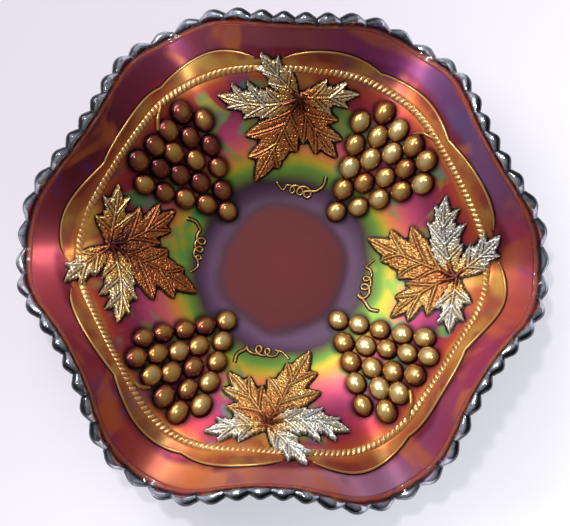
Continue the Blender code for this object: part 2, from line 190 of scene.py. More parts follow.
# ---------------------------------------------------------------- meshes
class Shell:
    """Vertices and faces of one visible piece, with the values that its glass is coloured by, painted shade
    among them.
    """

    def __init__(self):
        self.points, self.faces, self.cavity, self.tone = [], [], [], []
        self.count = 0

    def add(self, points, faces, cavity, tone):
        points = np.asarray(points, float).reshape(-1, 3)
        self.points.append(points)
        self.cavity.append(np.broadcast_to(np.asarray(cavity, float), (len(points),)))
        self.tone.append(np.broadcast_to(np.asarray(tone, float), (len(points),)))
        self.faces += [tuple(int(i) + self.count for i in face) for face in faces]
        self.count += len(points)

    def add_rings(self, rings, cavity=0.0, tone=0.5, wrap=False):
        """A body from closed rings of equal size, joined one to the next."""
        rings = np.asarray(rings, float)
        rows, size = rings.shape[:2]
        faces = []
        for row in range(rows if wrap else rows - 1):
            low, high = row * size, ((row + 1) % rows) * size
            for i in range(size):
                j = (i + 1) % size
                faces.append((low + i, low + j, high + j, high + i))
        if not wrap:
            faces.append(tuple(reversed(range(size))))
            faces.append(tuple(range((rows - 1) * size, rows * size)))
        values = [np.ravel(np.broadcast_to(value, (rows, size))) for value in (cavity, tone)]
        self.add(rings.reshape(-1, 3), faces, *values)

    def build(self, name, material, bent=True):
        flat = np.concatenate(self.points)
        mesh = bpy.data.meshes.new(name)
        mesh.from_pydata((bend(flat) if bent else flat).tolist(), [], self.faces)
        # the first of these values is painted shade: how dark each point is painted, in hollows, creases and
        # beside raised parts
        for label, values in (("cavity", self.cavity), ("tone", self.tone)):
            layer = mesh.attributes.new(label, "FLOAT", "POINT")
            layer.data.foreach_set("value", np.concatenate(values).astype(np.float32))
        layer = mesh.attributes.new("flat", "FLOAT_VECTOR", "POINT")
        layer.data.foreach_set("vector", flat.astype(np.float32).ravel())
        tidy(mesh)
        mesh.materials.append(material)
        thing = bpy.data.objects.new(name, mesh)
        bpy.context.scene.collection.objects.link(thing)
        return thing


def tidy(mesh):
    """Weld what meets, turn the faces outwards and shade them smooth."""
    body = bmesh.new()
    body.from_mesh(mesh)
    bmesh.ops.remove_doubles(body, verts=body.verts, dist=WELD)
    bmesh.ops.recalc_face_normals(body, faces=body.faces)
    body.to_mesh(mesh)
    body.free()
    mesh.shade_smooth()


def place(piece, nodes):
    """Stand a finished piece in for the solids that it shows."""
    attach(piece, "root")
    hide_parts(*nodes)


def on_disc(length, degrees, height=0.0):
    return np.array([length * cos(radians(degrees)), length * sin(radians(degrees)), height])


def tube_rings(points, radii, sides=10, flatten=1.0):
    """Round sections along a path that lies on the disc."""
    points = np.asarray(points, float)
    turn = np.arange(sides) / sides * 2 * pi
    rise = flatten * np.sin(turn)[:, None] * np.array([0, 0, 1.0])
    rings = []
    for i, point in enumerate(points):
        ahead = points[min(i + 1, len(points) - 1)] - points[max(i - 1, 0)]
        ahead[2] = 0
        ahead /= max(np.linalg.norm(ahead), 1e-9)
        side = np.array([-ahead[1], ahead[0], 0])
        rings.append(point + radii[i] * (np.cos(turn)[:, None] * side + rise))
    return rings


def smooth_path(points, steps=12):
    """A curve through given points."""
    points = np.asarray(points, float)
    ends = np.concatenate([[2 * points[0] - points[1]], points, [2 * points[-1] - points[-2]]])
    path = []
    for i in range(1, len(ends) - 2):
        a, b, c, d = ends[i - 1:i + 3]
        square, cube = 2 * a - 5 * b + 4 * c - d, 3 * b - a - 3 * c + d
        for t in np.arange(steps) / steps:
            path.append(0.5 * (2 * b + (c - a) * t + square * t ** 2 + cube * t ** 3))
    path.append(ends[-2])
    return np.array(path)


# ---------------------------------------------------------------- glass finishes
def make_ramp(tree, stops):
    ramp = tree.nodes.new("ShaderNodeValToRGB")
    elements = ramp.color_ramp.elements
    while len(elements) > 1:
        elements.remove(elements[-1])
    elements[0].position = stops[0][0]
    elements[0].color = (*srgb(stops[0][1]), 1)
    for position, color in stops[1:]:
        element = elements.new(position)
        element.color = (*srgb(color), 1)
    return ramp


def srgb(color):
    """A colour written 0 to 255, as linear values."""
    shares = [value / 255 for value in color]
    return tuple(share / 12.92 if share <= 0.04045 else ((share + 0.055) / 1.055) ** 2.4 for share in shares)


def calculate(tree, operation, first, second, third=None, clamp=False):
    node = tree.nodes.new("ShaderNodeMath")
    node.operation = operation
    node.use_clamp = clamp
    values = (first, second) if third is None else (first, second, third)
    for index, value in enumerate(values):
        if isinstance(value, (int, float)):
            node.inputs[index].default_value = value
        else:
            tree.links.new(value, node.inputs[index])
    return node.outputs[0]


def both(tree, first, second):
    """The product of two shares, 1 only where both are."""
    return calculate(tree, "MULTIPLY", first, second)


def mix_color(tree, factor, first, second):
    node = tree.nodes.new("ShaderNodeMix")
    node.data_type = "RGBA"
    sockets = {s.identifier: s for s in node.inputs}
    for key, value in (("Factor_Float", factor), ("A_Color", first), ("B_Color", second)):
        if isinstance(value, (int, float)):
            sockets[key].default_value = value
        elif isinstance(value, tuple):
            sockets[key].default_value = (*srgb(value), 1)
        else:
            tree.links.new(value, sockets[key])
    return [s for s in node.outputs if s.identifier == "Result_Color"][0]


def attribute(tree, name, output="Fac"):
    node = tree.nodes.new("ShaderNodeAttribute")
    node.attribute_name = name
    return node.outputs[output]


def noise_field(tree, vector, scale, detail=2.0, distortion=0.0):
    node = tree.nodes.new("ShaderNodeTexNoise")
    node.inputs["Scale"].default_value = scale
    node.inputs["Detail"].default_value = detail
    node.inputs["Distortion"].default_value = distortion
    tree.links.new(vector, node.inputs["Vector"])
    return node.outputs["Fac"]


def new_glass(name):
    material = bpy.data.materials.new(name)
    material.use_nodes = True
    tree = material.node_tree
    shader = tree.nodes["Principled BSDF"]
    return material, tree, shader


def place_on_glass(tree):
    """A point's flat place, that place's parts, and how far along the glass it is as a share of the whole."""
    flat = attribute(tree, "flat", "Vector")
    length_node = tree.nodes.new("ShaderNodeVectorMath")
    length_node.operation = "LENGTH"
    split = tree.nodes.new("ShaderNodeSeparateXYZ")
    tree.links.new(flat, split.inputs[0])
    join = tree.nodes.new("ShaderNodeCombineXYZ")
    tree.links.new(split.outputs[0], join.inputs[0])
    tree.links.new(split.outputs[1], join.inputs[1])
    tree.links.new(join.outputs[0], length_node.inputs[0])
    share = calculate(tree, "DIVIDE", length_node.outputs["Value"], GLASS_LENGTH)
    return flat, split, share


def wandered(tree, value, flat, scale, detail, reach):
    """A value moved up and down a little by noise."""
    wander = calculate(tree, "SUBTRACT", noise_field(tree, flat, scale, detail), 0.5)
    return calculate(tree, "MULTIPLY_ADD", wander, reach, value)


def between(tree, value, low, high):
    """A smooth 0 to 1 as a value rises from low to high."""
    node = tree.nodes.new("ShaderNodeMapRange")
    node.interpolation_type = "SMOOTHSTEP"
    tree.links.new(value, node.inputs["Value"])
    node.inputs["From Min"].default_value = low
    node.inputs["From Max"].default_value = high
    return node.outputs["Result"]


def angle_share(tree, split):
    """How far round the bowl a point lies, anticlockwise from +X, as a share of a full turn."""
    angle = calculate(tree, "ARCTAN2", split.outputs[1], split.outputs[0])
    return calculate(tree, "FRACT", calculate(tree, "DIVIDE", angle, 2 * pi), 0.0)


def iridised_material():
    """The skin of the plain glass: rings of interference colour that wander and fade into patches."""
    material, tree, shader = new_glass("iridised_amethyst")
    flat, split, share = place_on_glass(tree)
    wandering = wandered(tree, share, flat, 45.0, 1.5, 0.08)
    rings = make_ramp(tree, [
        (0.00, (106, 24, 26)), (0.205, (96, 22, 28)), (0.235, (72, 30, 50)), (0.265, (98, 66, 98)),
        (0.30, (84, 56, 84)), (0.322, (70, 50, 60)), (0.345, (92, 104, 50)), (0.375, (102, 146, 58)),
        (0.41, (192, 168, 52)), (0.44, (230, 142, 72)), (0.48, (224, 110, 104)), (0.54, (196, 78, 112)),
        (0.60, (150, 54, 92)), (0.66, (158, 48, 74)), (0.705, (166, 52, 62)), (0.74, (186, 78, 52)),
        (0.768, (222, 142, 70)), (0.785, (198, 104, 58)), (0.81, (142, 50, 56)), (0.85, (124, 42, 66)),
        (0.93, (134, 50, 72)), (0.96, (176, 78, 58)), (1.0, (150, 66, 60)),
    ])
    tree.links.new(wandering, rings.inputs[0])
    # Near the rim the colour changes round the bowl. This is partly the skin's own colours and partly painted
    # light: darker in the upper left, where shade falls, and paler towards the bottom.
    round_colour_and_light = make_ramp(tree, [
        (0.00, (196, 78, 98)), (0.05, (130, 92, 138)), (0.11, (96, 84, 132)), (0.17, (158, 66, 124)),
        (0.24, (158, 84, 92)), (0.34, (118, 48, 74)), (0.44, (104, 40, 52)), (0.50, (196, 86, 96)),
        (0.57, (146, 50, 70)), (0.64, (184, 84, 72)), (0.69, (224, 144, 98)), (0.75, (196, 116, 112)),
        (0.80, (206, 164, 200)), (0.86, (160, 78, 116)), (0.93, (172, 62, 98)), (1.0, (196, 78, 98)),
    ])
    round_share = wandered(tree, angle_share(tree, split), flat, 30.0, 1.0, 0.10)
    tree.links.new(round_share, round_colour_and_light.inputs[0])
    near_rim = between(tree, wandering, 0.835, 0.87)
    fringe = between(tree, wandering, 0.965, 0.925)
    edge_zone = both(tree, both(tree, near_rim, fringe), 0.85)
    color = mix_color(tree, edge_zone, rings.outputs[0], round_colour_and_light.outputs[0])
    greens = make_ramp(tree, [(0.30, (36, 150, 128)), (0.50, (96, 156, 66)), (0.70, (176, 160, 52))])
    tree.links.new(noise_field(tree, flat, 90.0, 2.0, 0.5), greens.inputs[0])
    green_here = between(tree, noise_field(tree, flat, 52.0, 2.0, 0.8), 0.53, 0.63)
    inside = both(tree, between(tree, wandering, 0.33, 0.37), between(tree, wandering, 0.75, 0.70))
    color = mix_color(tree, both(tree, both(tree, green_here, inside), 0.8), color, greens.outputs[0])
    violet_here = between(tree, noise_field(tree, flat, 38.0, 2.0, 1.2), 0.58, 0.70)
    outside_disc = between(tree, share, 0.42, 0.50)
    color = mix_color(tree, both(tree, both(tree, violet_here, outside_disc), 0.45), color, (104, 56, 128))
    ember_here = between(tree, noise_field(tree, flat, 31.0, 2.0, 0.9), 0.54, 0.68)
    ember = both(tree, both(tree, ember_here, between(tree, share, 0.76, 0.82)), 0.55)
    color = mix_color(tree, ember, color, (214, 122, 62))
    tone = attribute(tree, "tone")
    whole = between(tree, noise_field(tree, flat, 70.0, 3.0, 0.6), 0.38, 0.62)
    worn = calculate(tree, "MULTIPLY_ADD", whole, 0.50, 0.28)
    gilded = both(tree, calculate(tree, "SUBTRACT", tone, 1.0, clamp=True), worn)
    yellow_here = between(tree, noise_field(tree, flat, 44.0, 2.0), 0.40, 0.60)
    color = mix_color(tree, gilded, color, mix_color(tree, yellow_here, (176, 96, 52), (216, 176, 80)))
    bare = calculate(tree, "SUBTRACT", 1.0, tone, clamp=True)
    shade = make_ramp(tree, [
        (0.00, (0, 0, 0)), (0.14, (60, 60, 60)), (0.24, (190, 190, 190)), (0.38, (170, 170, 170)),
        (0.50, (90, 90, 90)), (0.66, (30, 30, 30)), (1.0, (0, 0, 0)),
    ])
    tree.links.new(angle_share(tree, split), shade.inputs[0])
    on_ring = both(tree, between(tree, share, 0.22, 0.27), between(tree, share, 0.37, 0.31))
    color = mix_color(tree, both(tree, on_ring, shade.outputs[0]), color, (34, 16, 28))
    faint = mix_color(tree, noise_field(tree, flat, 34.0, 2.0, 0.8), (40, 16, 38), (98, 52, 84))
    color = mix_color(tree, bare, color, faint)
    # painted shade: the glass darkened round the grapes, round the leaves and just outside the raised strip
    color = mix_color(tree, attribute(tree, "cavity"), color, (18, 6, 12))
    tree.links.new(color, shader.inputs["Base Color"])
    tree.links.new(both(tree, between(tree, share, 0.22, 0.46), 0.62), shader.inputs["Metallic"])
    rough = calculate(tree, "MULTIPLY_ADD", between(tree, share, 0.22, 0.40), -0.16, 0.54)
    rough = calculate(tree, "MULTIPLY_ADD", between(tree, share, 0.80, 0.88), 0.07, rough)
    tree.links.new(rough, shader.inputs["Roughness"])
    shader.inputs["Specular IOR Level"].default_value = 0.3
    fine = noise_field(tree, flat, 2600.0, 2.0)
    grain = tree.nodes.new("ShaderNodeBump")
    grain.inputs["Strength"].default_value = 0.10
    grain.inputs["Distance"].default_value = 0.0002
    tree.links.new(fine, grain.inputs["Height"])
    tree.links.new(grain.outputs[0], shader.inputs["Normal"])
    return material


def relief_material(name, tones, roughness, speckle):
    """The skin of raised glass: painted shade in the grooves and low down, gold and silver on top."""
    material, tree, shader = new_glass(name)
    flat = attribute(tree, "flat", "Vector")
    ramp = make_ramp(tree, tones)
    tree.links.new(wandered(tree, attribute(tree, "tone"), flat, 130.0, 2.0, 0.4), ramp.inputs[0])
    dots = between(tree, noise_field(tree, flat, 1500.0, 2.0), 0.56, 0.64)
    color = mix_color(tree, both(tree, dots, speckle), ramp.outputs[0], (40, 16, 12))
    # painted shade in the grooves and low down
    color = mix_color(tree, attribute(tree, "cavity"), color, (14, 5, 7))
    tree.links.new(color, shader.inputs["Base Color"])
    shader.inputs["Metallic"].default_value = 0.70
    shader.inputs["Roughness"].default_value = roughness
    shader.inputs["Coat Weight"].default_value = 0.25
    shader.inputs["Coat Roughness"].default_value = 0.10
    return material


def bead_material():
    """The edge: a thin maroon line, then glass with a silver lustre, painted dark as shade except on its
    upper side.
    """
    material, tree, shader = new_glass("silvered_edge")
    flat, _, share = place_on_glass(tree)
    ramp = make_ramp(tree, [
        (0.935, (128, 48, 64)), (0.948, (164, 76, 54)), (0.958, (120, 46, 42)), (0.966, (60, 30, 38)),
        (0.972, (182, 187, 198)), (1.0, (208, 214, 226)),
    ])
    tree.links.new(share, ramp.inputs[0])
    clouds = between(tree, noise_field(tree, flat, 420.0, 2.0), 0.50, 0.62)
    color = mix_color(tree, both(tree, clouds, 0.5), ramp.outputs[0], (70, 74, 92))
    # painted shade on the outward and lower side of the beads, in their notches and at their neck
    color = mix_color(tree, attribute(tree, "cavity"), color, (12, 10, 18))
    tree.links.new(color, shader.inputs["Base Color"])
    tree.links.new(both(tree, between(tree, share, 0.955, 0.97), 0.9), shader.inputs["Metallic"])
    shader.inputs["Roughness"].default_value = 0.13
    shader.inputs["Coat Weight"].default_value = 0.4
    shader.inputs["Coat Roughness"].default_value = 0.05
    return material


def plain_glass_material():
    """Dark amethyst glass without the skin, as on the foot, slightly clouded."""
    material, tree, shader = new_glass("plain_amethyst")
    clouds = between(tree, noise_field(tree, attribute(tree, "flat", "Vector"), 60.0, 2.0, 0.8), 0.35, 0.65)
    tree.links.new(mix_color(tree, clouds, (28, 12, 32), (66, 34, 58)), shader.inputs["Base Color"])
    tree.links.new(calculate(tree, "MULTIPLY_ADD", clouds, 0.12, 0.10), shader.inputs["Roughness"])
    shader.inputs["Coat Weight"].default_value = 0.5
    shader.inputs["Coat Roughness"].default_value = 0.05
    return material


# ---------------------------------------------------------------- relief: where it lies
def bunch_grapes(number):
    """(place on the disc, radius) of each grape of one bunch."""
    angle = BUNCH_ANGLE + QUARTER * number
    out, side = on_disc(1, angle), on_disc(1, angle + 90)
    found = []
    for row, count in enumerate(BUNCH_ROWS):
        for place_in_row in range(count):
            sway = sin(5.1 * row + 2.3 * place_in_row + number)
            lean = cos(3.7 * row + 4.1 * place_in_row + 2 * number)
            reach = BUNCH_TIP + ROW_STEP * row + 0.5 * MM * sway
            aside = (place_in_row - (count - 1) / 2) * GRAPE_PITCH + 0.4 * MM * lean
            radius = GRAPE_RADIUS + GRAPE_GROWTH * row + 0.15 * MM * sway
            found.append((out * reach + side * aside, radius))
    return found


# Leaves, in millimetres outwards and anticlockwise from the middle of the spray. Each one has a midrib from
# its stalk through a bend to its tip, a half width, a level, a paleness, and lobes. A lobe is the place on
# the midrib where its vein starts, the lobe's tip and its half width.
LEAVES = (
    ((0.5, 2.5), (-4.5, 15.0), (-1.0, 34.0), 6.2, 0.75, 0.84, (
        (0.62, (4.8, 28.0), 2.1), (0.38, (7.0, 21.5), 2.4), (0.14, (5.2, 13.0), 3.0),
        (0.60, (-6.2, 29.5), 2.1), (0.36, (-10.0, 22.0), 2.5), (0.12, (-8.0, 13.5), 3.2))),
    ((-1.0, 0.0), (-16.0, 5.0), (-36.5, 14.5), 8.2, 0.35, 0.50, (
        (0.55, (-26.0, 18.5), 3.5), (0.28, (-17.0, 20.5), 4.8), (0.10, (-9.5, 12.0), 4.0),
        (0.60, (-30.0, 4.5), 3.5), (0.34, (-22.0, -3.0), 4.6), (0.14, (-14.0, -4.0), 3.4))),
    ((4.5, 0.5), (11.0, 7.0), (20.8, 17.0), 5.4, 1.05, 0.88, (
        (0.50, (14.2, 18.8), 2.1), (0.20, (8.0, 12.8), 2.7),
        (0.52, (20.8, 8.6), 2.1), (0.20, (15.0, 2.4), 2.9))),
    ((-1.0, -3.0), (-11.0, -8.0), (-24.0, -20.5), 6.3, 0.2, 0.52, (
        (0.48, (-16.0, -22.5), 3.1), (0.20, (-7.5, -20.0), 3.8), (0.52, (-22.8, -11.0), 3.1),
        (0.24, (-18.8, -5.0), 3.6))),
    ((3.0, -4.0), (2.5, -14.0), (3.8, -28.5), 4.9, 0.8, 0.82, (
        (0.50, (-2.4, -24.0), 2.0), (0.24, (-5.6, -17.0), 2.5), (0.52, (9.4, -22.5), 2.0),
        (0.20, (10.8, -14.0), 2.7))),
)
LEAF_ORDER = (3, 1, 4, 0, 2)          # the last one lies on top
# the smooth swellings of the glass behind the leaves: centre, half sizes, turn in degrees, height
SWELLINGS = (
    ((12.0, -9.0), (9.0, 12.0), 20.0, 1.0),
    ((8.5, -1.0), (8.0, 8.0), 0.0, 0.9),
)
KNOT = (3.0, -2.0)
SPRAY_CELL = 0.25                     # millimetres between the grid's points
NO_LEAF = -1.0                        # height of the grid where there is no leaf
LEAF_EDGE = -0.4                      # lowest height that is still part of a leaf


def curve_points(first, bend_at, last, count=36):
    share = np.linspace(0, 1, count)[:, None]
    first, bend_at, last = (np.array(p, float) for p in (first, bend_at, last))
    return first * (1 - share) ** 2 + 2 * bend_at * share * (1 - share) + last * share ** 2


def along_curve(grid, points):
    """For each grid point: its share of the way along the curve and its distance from the curve."""
    best = np.full(grid.shape[1:], 1e9)
    share = np.zeros(grid.shape[1:])
    for index, (x, y) in enumerate(points):
        gap = (grid[0] - x) ** 2 + (grid[1] - y) ** 2
        nearer = gap < best
        best = np.where(nearer, gap, best)
        share = np.where(nearer, index / (len(points) - 1), share)
    return share, np.sqrt(best)


def bump(distance, width):
    return np.exp(-(distance / width) ** 2)


def blur(field, cells):
    """Gaussian blur of a grid by separate passes."""
    reach = int(cells * 3) + 1
    kernel = np.exp(-0.5 * (np.arange(-reach, reach + 1) / cells) ** 2)
    kernel /= kernel.sum()
    for axis in (0, 1):
        field = np.apply_along_axis(lambda row: np.convolve(row, kernel, mode="same"), axis, field)
    return field


def leaf_relief(grid, leaf, rough):
    """Height of one leaf over the glass, and how pale it is."""
    stalk_end, bend_at, tip, half, level, pale, lobes = leaf
    midrib = curve_points(stalk_end, bend_at, tip, 60)
    blades = [(midrib, half, 0.40, 9, 0.95)]
    for start, lobe_tip, lobe_half in lobes:
        root = midrib[int(start * (len(midrib) - 1))]
        middle = (root + np.array(lobe_tip)) / 2
        middle = middle + 0.10 * (midrib[-1] - midrib[0]) * (0.4 if start > 0.3 else 0.2)
        blades.append((curve_points(root, middle, lobe_tip, 40), lobe_half, 0.34, 5, 0.55))
    inside = np.full(grid.shape[1:], -9.0)
    ridge, groove = np.zeros(grid.shape[1:]), np.zeros(grid.shape[1:])
    for points, width, widest, saw_teeth, saw in blades:
        share, gap = along_curve(grid, points)
        rise = 0.50 + 0.50 * np.sin(np.clip(share / widest, 0, 1) * pi / 2)
        fall = (1 - np.clip((share - widest) / (1 - widest), 0, 1) ** 1.5) ** 0.9
        teeth = saw * ((share * saw_teeth) % 1.0) * np.minimum(1, 3 * (1 - share)) - 0.5 * saw
        inside = np.maximum(inside, width * rise * fall - gap + teeth * (gap > 0.4 * width))
        fade = np.clip((1 - share) / 0.12, 0, 1)
        ridge = np.maximum(ridge, bump(gap, 0.34 - 0.10 * share) * fade)
        groove = np.maximum(groove, bump(gap - 0.72, 0.30) * fade)
    groove = groove * (1 - ridge)
    edge = ease(inside, -0.10, 0.40)
    rim = bump(inside - 0.50, 0.35)
    pillow = 1 - np.exp(-np.maximum(inside, 0) / 1.3)
    veins = 0.42 * ridge - 0.50 * groove
    up = 0.60 + level + 0.85 * pillow + veins + 0.22 * rim + 0.26 * rough * (1 - ridge)
    # the veins and the raised edge are painted paler, as highlight
    return np.where(inside > -0.10, edge * up, NO_LEAF), pale + 0.12 * ridge + 0.08 * rim


def swelling_height(out, side):
    """Height of the swollen glass, in millimetres, from places in a spray's own frame."""
    rise = 0 * out
    for (x, y), (long, wide), turn, top in SWELLINGS:
        c, q = cos(radians(turn)), sin(radians(turn))
        u = ((out - x) * c + (side - y) * q) / long
        v = (-(out - x) * q + (side - y) * c) / wide
        rise = np.maximum(rise, top * np.maximum(1 - u * u - v * v, 0) ** 1.3)
    return rise


def spray_relief():
    """The grid of a spray, with its height, its painted shade in grooves and hollows, its paleness, and the
    painted shadow round its leaves.
    """
    out = np.arange(-46, 27, SPRAY_CELL)
    side = np.arange(-36, 42, SPRAY_CELL)
    grid = np.stack(np.meshgrid(out, side, indexing="ij"))
    noise_flat = np.array([noise.noise(Vector((x * 1.5, y * 1.5, 4.0))) for x in out for y in side])
    rough = np.clip(noise_flat.reshape(grid.shape[1:]) * 1.6, -1, 1)
    height = np.full(grid.shape[1:], NO_LEAF)
    pale = np.full(grid.shape[1:], 0.4)

    def cover(layer, tone):
        nonlocal height, pale
        above = layer > height
        height = np.where(above, layer, height)
        pale = np.where(above, tone, pale)

    for index in LEAF_ORDER:
        cover(*leaf_relief(grid, LEAVES[index], rough))
    for leaf in LEAVES:
        start, end = np.array(KNOT), np.array(leaf[0])
        reach = end - start
        lean = np.array([-reach[1], reach[0]]) * 0.18
        stalk = curve_points(start, (start + end) / 2 + lean, end + 0.5 * reach, 30)
        share, gap = along_curve(grid, stalk)
        radius = 0.95 - 0.40 * share
        ridge = np.sqrt(np.maximum(0, 1 - (gap / radius) ** 2))
        cover(np.where(gap < radius, 1.9 + leaf[4] * 0.5 + 0.8 * ridge, NO_LEAF), 0.30 + 0.25 * share)
    leaves_only = height > 0
    # a skirt of glass just round the leaves, painted fully dark as shade; the blurred cover also gives the
    # painted shadow on the wall round them
    halo = blur(leaves_only.astype(float), 0.9 / SPRAY_CELL)
    shade_skirt = ~leaves_only & (halo > 0.20)
    height = np.where(shade_skirt, 0.06 + swelling_height(grid[0], grid[1]), height)
    near_knot = bump(np.hypot(grid[0] - KNOT[0], grid[1] - KNOT[1]), 10.0)
    pale = pale - 0.38 * near_knot * leaves_only + 0.10 * rough
    # painted shade: darker where a point lies below its neighbours, in grooves and hollows
    shown = np.maximum(height, 0)
    dark = np.clip(2.6 * (blur(shown, 0.55 / SPRAY_CELL) - shown), 0, 1)
    dark = np.where(shade_skirt, 1.0, dark)
    return out, side, height, dark, pale, halo


GRID_OUT, GRID_SIDE, GRID_HEIGHT, GRID_SHADE, GRID_PALE, GRID_SHADOW = spray_relief()


def to_spray(points, number):
    """Flat points in a spray's own frame, in millimetres."""
    angle = radians(SPRAY_ANGLE + QUARTER * number)
    x = points[:, 0] * cos(angle) + points[:, 1] * sin(angle) - SPRAY_RADIUS
    y = -points[:, 0] * sin(angle) + points[:, 1] * cos(angle)
    return x / MM, y / MM


def swelling(points):
    """Height of the swollen glass at flat points, in metres."""
    return sum(swelling_height(*to_spray(points, number)) for number in range(QUARTERS)) * MM


def spray_shade(points):
    """How much painted shade the leaves lay on the glass round them, at each flat point."""
    dark = np.zeros(len(points))
    for number in range(QUARTERS):
        x, y = to_spray(points, number)
        i = np.round((x - GRID_OUT[0]) / SPRAY_CELL).astype(int)
        j = np.round((y - GRID_SIDE[0]) / SPRAY_CELL).astype(int)
        inside = (i >= 0) & (i < len(GRID_OUT)) & (j >= 0) & (j < len(GRID_SIDE))
        dark[inside] = np.maximum(dark[inside], GRID_SHADOW[i[inside], j[inside]])
    return np.clip(dark * 1.9, 0, 1)


# ---------------------------------------------------------------- relief pieces
def make_bunch(number, material):
    """Nineteen grapes, each a flattened dome, with the stem that leads to the border."""
    shell = Shell()
    rows, sides = 15, 36
    turn = np.arange(sides) / sides * 2 * pi
    for order, (middle, radius) in enumerate(bunch_grapes(number)):
        rise = radius * GRAPE_RISE
        profile = np.linspace(0, pi / 2, rows)
        ahead = middle / np.linalg.norm(middle)
        left = np.array([-ahead[1], ahead[0], 0])
        rings, painted_shades = [], []
        for angle in profile:
            around = radius * cos(angle) ** 0.9 if angle < pi / 2 else 0.0
            up = rise * sin(angle)
            oval = GRAPE_STRETCH * np.cos(turn)[:, None] * ahead + np.sin(turn)[:, None] * left
            ring = middle + around * oval
            ring[:, 2] = up
            rings.append(ring)
            # painted shade, darkest at the foot of each grape and fading up its side
            painted_shades.append(np.full(sides, 0.98 * max(0.0, 1 - up / (0.66 * rise)) ** 1.2))
        base = rings[0].copy()
        base[:, 2] = -SUNK
        tone = BUNCH_TONES[number] + 0.14 * sin(order * 2.7 + number)
        # each grape is paler and more gold towards its top: partly its own colour, partly painted light
        tones = [np.full(sides, tone)]
        tones += [np.full(sides, tone + 0.8 * (sin(angle) - 0.82)) for angle in profile]
        shell.add_rings([base] + rings, np.array([painted_shades[0]] + painted_shades), np.array(tones))
    angle = BUNCH_ANGLE + QUARTER * number
    last = BUNCH_TIP + ROW_STEP * (len(BUNCH_ROWS) - 1)
    stem = smooth_path([
        on_disc(last + 3 * MM, angle - 1, 0.5 * MM),
        on_disc(last + 7 * MM, angle - 3, 1.4 * MM),
        on_disc(CABLE_RADIUS - 1.5 * MM, angle - 5, 1.2 * MM),
        on_disc(CABLE_RADIUS + 0.5 * MM, angle - 7, 0.9 * MM),
    ])
    shell.add_rings(tube_rings(stem, np.linspace(0.9, 0.5, len(stem)) * MM), 0.0, 0.6)
    return shell.build(f"grapes_{number + 1}", material)


def spray_cells():
    """Which cells of the grid a spray covers. Cells that would meet at one corner only get filled in."""
    keep = GRID_HEIGHT > LEAF_EDGE
    cells = keep[:-1, :-1] | keep[1:, :-1] | keep[:-1, 1:] | keep[1:, 1:]
    quarters = (cells[:-1, :-1], cells[1:, :-1], cells[:-1, 1:], cells[1:, 1:])
    for _ in range(6):
        a, b, c, d = quarters
        corner = (a & d & ~b & ~c) | (b & c & ~a & ~d)
        if not corner.any():
            break
        for part in quarters:
            part |= corner
    return cells


def make_spray(number, material):
    """Five toothed leaves and the knot of their stalks, from the grid of heights."""
    cells = spray_cells()
    used = np.zeros(GRID_HEIGHT.shape, bool)
    for di in (0, 1):
        for dj in (0, 1):
            used[di:di + cells.shape[0], dj:dj + cells.shape[1]] |= cells
    index = np.full(GRID_HEIGHT.shape, -1)
    count = int(used.sum())
    index[used] = np.arange(count)
    i, j = np.nonzero(used)
    angle = radians(SPRAY_ANGLE + QUARTER * number)
    x = SPRAY_RADIUS + GRID_OUT[i] * MM
    y = GRID_SIDE[j] * MM
    flat = np.stack([x * cos(angle) - y * sin(angle), x * sin(angle) + y * cos(angle)], axis=1)
    top = np.column_stack([flat, np.maximum(GRID_HEIGHT[used], LEAF_EDGE) * MM])
    low = np.column_stack([flat, np.full(count, -SUNK)])
    ci, cj = np.nonzero(cells)
    quads = np.stack([index[ci, cj], index[ci + 1, cj], index[ci + 1, cj + 1], index[ci, cj + 1]], axis=1)
    padded = np.pad(cells, 1)
    walls = []
    for (di, dj), (start, end) in (((-1, 0), (3, 0)), ((1, 0), (1, 2)), ((0, -1), (0, 1)), ((0, 1), (2, 3))):
        bare = ~padded[ci + 1 + di, cj + 1 + dj]
        near, far = quads[bare, end], quads[bare, start]
        walls.append(np.stack([near, far, far + count, near + count], axis=1))
    faces = np.concatenate([quads, quads[:, ::-1] + count] + walls)
    shell = Shell()
    # painted shade: from the grid on top, and fully dark on the buried underside so the leaves' sides darken
    # towards the glass
    cavity = np.concatenate([GRID_SHADE[used], np.ones(count)])
    tone = np.concatenate([GRID_PALE[used] + SPRAY_TONES[number], np.zeros(count)])
    shell.add(np.concatenate([top, low]), faces.tolist(), cavity, tone)
    return shell.build(f"leaves_{number + 1}", material)


def leaf_break():
    """Where a leaf interrupts the border: its angle from the spray and its half width, in degrees."""
    reach_out, reach_round, width = 20.0 * MM, 16.0 * MM, 11.0 * MM
    share = (CABLE_RADIUS - SPRAY_RADIUS) / reach_out
    return np.degrees(reach_round * share / CABLE_RADIUS), np.degrees(0.36 * width / CABLE_RADIUS)


def border_span(number, inset=0.0):
    middle, half = leaf_break()
    start = SPRAY_ANGLE + QUARTER * number + middle + half + inset
    return start, start + QUARTER - 2 * half - 2 * inset


